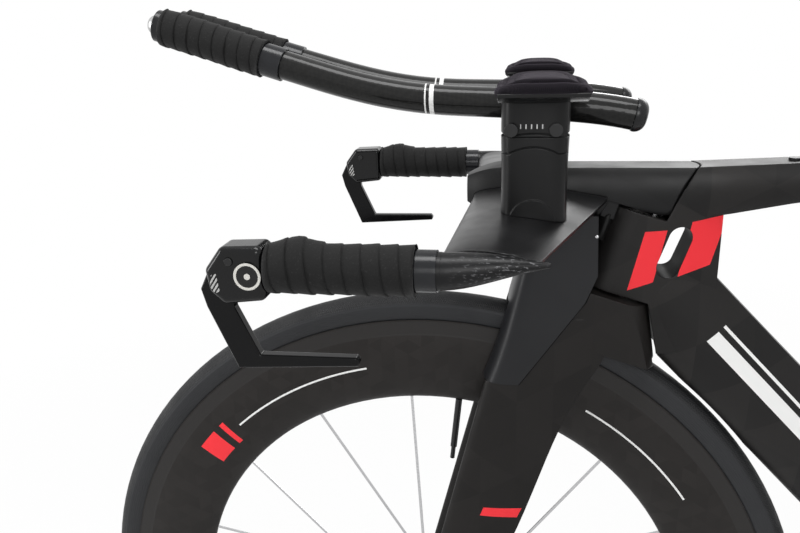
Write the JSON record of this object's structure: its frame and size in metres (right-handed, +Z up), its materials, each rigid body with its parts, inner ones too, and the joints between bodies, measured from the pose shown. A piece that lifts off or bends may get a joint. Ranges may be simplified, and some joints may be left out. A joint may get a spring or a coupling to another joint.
{
  "type": "time trial bike",
  "caption": "Time trial bicycle with aero frame, deep-rim wheels, base bar with forward levers, raised arm pads and upturned extension bars.",
  "frame": {"origin": "on the ground, midway between the two axles", "axes": "+X forwards, +Y to the rider's left, +Z up"},
  "size_m": [1.6668, 0.4166, 0.9977],
  "materials": {
    "carbon_matte": "matte clear coat over carbon weave",
    "cover_grey": "satin dark grey",
    "rim_carbon": "satin carbon",
    "carbon_gloss": "gloss clear coat over carbon",
    "tyre": "smooth rubber",
    "steel": "bright",
    "black_alloy": "black anodised",
    "black_plastic": "fine matt grain",
    "black_gloss": "gloss",
    "bar_tape": "matt wound tape",
    "pad_fabric": "short nap",
    "saddle_cover": "smooth synthetic leather",
    "silver": "satin",
    "shoe_rubber": "moulded"
  },
  "bodies": {
    "frame": {"frame": "carbon_matte", "rear_stays": "carbon_matte", "headset_bearings": "steel", "bottom_bracket_cups": "black_alloy", "seatpost": "carbon_matte", "saddle_clamp": "black_alloy", "saddle_rails": "steel", "saddle_shell": "black_plastic", "saddle_pad": "saddle_cover", "frame_bolts": "steel", "rear_axle": "steel", "derailleur_body": "black_alloy", "chain": "steel"},
    "steering": {"fork": "carbon_matte", "nose_cover": "cover_grey", "stem": "carbon_matte", "base_bar": "carbon_matte", "grip_tapes": "bar_tape", "finishing_bands": "black_gloss", "lever_bodies": "black_gloss", "cockpit_bolts": "steel", "lever_badges": "silver", "arm_rest_risers": "black_plastic", "extension_clamps": "black_plastic", "arm_cups": "black_plastic", "arm_pads": "pad_fabric", "extensions": "carbon_gloss", "extension_grips": "bar_tape", "extension_ends": "black_plastic", "front_axle": "steel"},
    "front_wheel": {"front_tyre": "tyre", "front_rim": "rim_carbon", "front_hub": "black_alloy", "front_spokes_set": "steel", "front_valve": "black_alloy"},
    "rear_wheel": {"rear_tyre": "tyre", "rear_rim": "rim_carbon", "rear_hub": "black_alloy", "rear_spokes_set": "steel", "rear_valve": "black_alloy"},
    "crankset": {"crank_arm_left": "carbon_gloss", "crank_arm_right": "carbon_gloss", "crank_spindle": "steel", "chainring": "black_alloy"},
    "cassette": {"cassette": "steel"},
    "derailleur_cage": {"derailleur_cage": "black_alloy"},
    "guide_pulley": {"guide_pulley": "black_plastic"},
    "tension_pulley": {"tension_pulley": "black_plastic"},
    "lever_left": {"lever_blade_left": "black_alloy"},
    "lever_right": {"lever_blade_right": "black_alloy"},
    "shift_button_left": {"shift_button_left": "silver"},
    "shift_button_right": {"shift_button_right": "silver"},
    "front_arm_left": {"front_brake_arm_left": "black_alloy", "front_brake_shoe_left": "shoe_rubber"},
    "front_arm_right": {"front_brake_arm_right": "black_alloy", "front_brake_shoe_right": "shoe_rubber"},
    "rear_arm_left": {"rear_brake_arm_left": "black_alloy", "rear_brake_shoe_left": "shoe_rubber"},
    "rear_arm_right": {"rear_brake_arm_right": "black_alloy", "rear_brake_shoe_right": "shoe_rubber"}
  },
  "joints": [
    {"name": "steering", "type": "hinge", "parent": "frame", "child": "steering", "pos_m": [0.45733, 0, 0.32372], "axis": [-0.2924, 0, 0.9563], "range_deg": [-40, 40]},
    {"name": "front_wheel_spin", "type": "hinge", "parent": "steering", "child": "front_wheel", "pos_m": [0.4975, 0, 0.336], "axis": [0, 1, 0], "continuous": true},
    {"name": "rear_wheel_spin", "type": "hinge", "parent": "frame", "child": "rear_wheel", "pos_m": [-0.4975, 0, 0.336], "axis": [0, 1, 0], "continuous": true},
    {"name": "crank_spin", "type": "hinge", "parent": "frame", "child": "crankset", "pos_m": [-0.0986, 0, 0.266], "axis": [0, 1, 0], "continuous": true, "deforming": ["chain"]},
    {"name": "cassette_spin", "type": "hinge", "parent": "frame", "child": "cassette", "pos_m": [-0.4975, 0, 0.336], "axis": [0, 1, 0], "continuous": true},
    {"name": "cage_swing", "type": "hinge", "parent": "frame", "child": "derailleur_cage", "pos_m": [-0.4935, 0, 0.248], "axis": [0, 1, 0], "range_deg": [-8, 12], "stiffness_Nm_per_rad": 2, "deforming": ["chain"]},
    {"name": "guide_pulley_spin", "type": "hinge", "parent": "derailleur_cage", "child": "guide_pulley", "pos_m": [-0.4935, 0, 0.248], "axis": [0, 1, 0], "continuous": true},
    {"name": "tension_pulley_spin", "type": "hinge", "parent": "derailleur_cage", "child": "tension_pulley", "pos_m": [-0.46878, 0, 0.18681], "axis": [0, 1, 0], "continuous": true},
    {"name": "lever_left_pull", "type": "hinge", "parent": "steering", "child": "lever_left", "pos_m": [0.594, 0.1915, 0.75932], "axis": [0, 1, 0], "range_deg": [0, 18], "stiffness_Nm_per_rad": 1.5, "springref_deg": -8.59},
    {"name": "shift_left_press", "type": "slide", "parent": "steering", "child": "shift_button_left", "axis": [-0.9624, 0, -0.2717], "range_m": [0, 0.002], "stiffness_N_per_m": 600, "springref_m": -0.002},
    {"name": "lever_right_pull", "type": "hinge", "parent": "steering", "child": "lever_right", "pos_m": [0.594, -0.1915, 0.75932], "axis": [0, 1, 0], "range_deg": [0, 18], "stiffness_Nm_per_rad": 1.5, "springref_deg": -8.59},
    {"name": "shift_right_press", "type": "slide", "parent": "steering", "child": "shift_button_right", "axis": [-0.9624, 0, -0.2717], "range_m": [0, 0.002], "stiffness_N_per_m": 600, "springref_m": -0.002},
    {"name": "front_left_arm_close", "type": "hinge", "parent": "steering", "child": "front_arm_left", "pos_m": [0.40097, 0.019, 0.67244], "axis": [-0.9588, 0, -0.284], "range_deg": [0, 1.8]},
    {"name": "front_right_arm_close", "type": "hinge", "parent": "steering", "child": "front_arm_right", "pos_m": [0.40097, -0.019, 0.67244], "axis": [0.9588, 0, 0.284], "range_deg": [0, 1.8]},
    {"name": "rear_left_arm_close", "type": "hinge", "parent": "frame", "child": "rear_arm_left", "pos_m": [-0.25907, 0.019, 0.593], "axis": [-0.6931, 0, 0.7208], "range_deg": [0, 1.8]},
    {"name": "rear_right_arm_close", "type": "hinge", "parent": "frame", "child": "rear_arm_right", "pos_m": [-0.25907, -0.019, 0.593], "axis": [0.6931, 0, -0.7208], "range_deg": [0, 1.8]}
  ],
  "couplings": [
    {"joint": "cassette_spin", "follows": "crank_spin", "ratio": 3.5333},
    {"joint": "guide_pulley_spin", "follows": "crank_spin", "ratio": -4.8182},
    {"joint": "tension_pulley_spin", "follows": "crank_spin", "ratio": 4.8182},
    {"joint": "front_left_arm_close", "follows": "lever_left_pull", "ratio": 0.1},
    {"joint": "front_right_arm_close", "follows": "lever_left_pull", "ratio": 0.1},
    {"joint": "rear_left_arm_close", "follows": "lever_right_pull", "ratio": 0.1},
    {"joint": "rear_right_arm_close", "follows": "lever_right_pull", "ratio": 0.1}
  ]
}
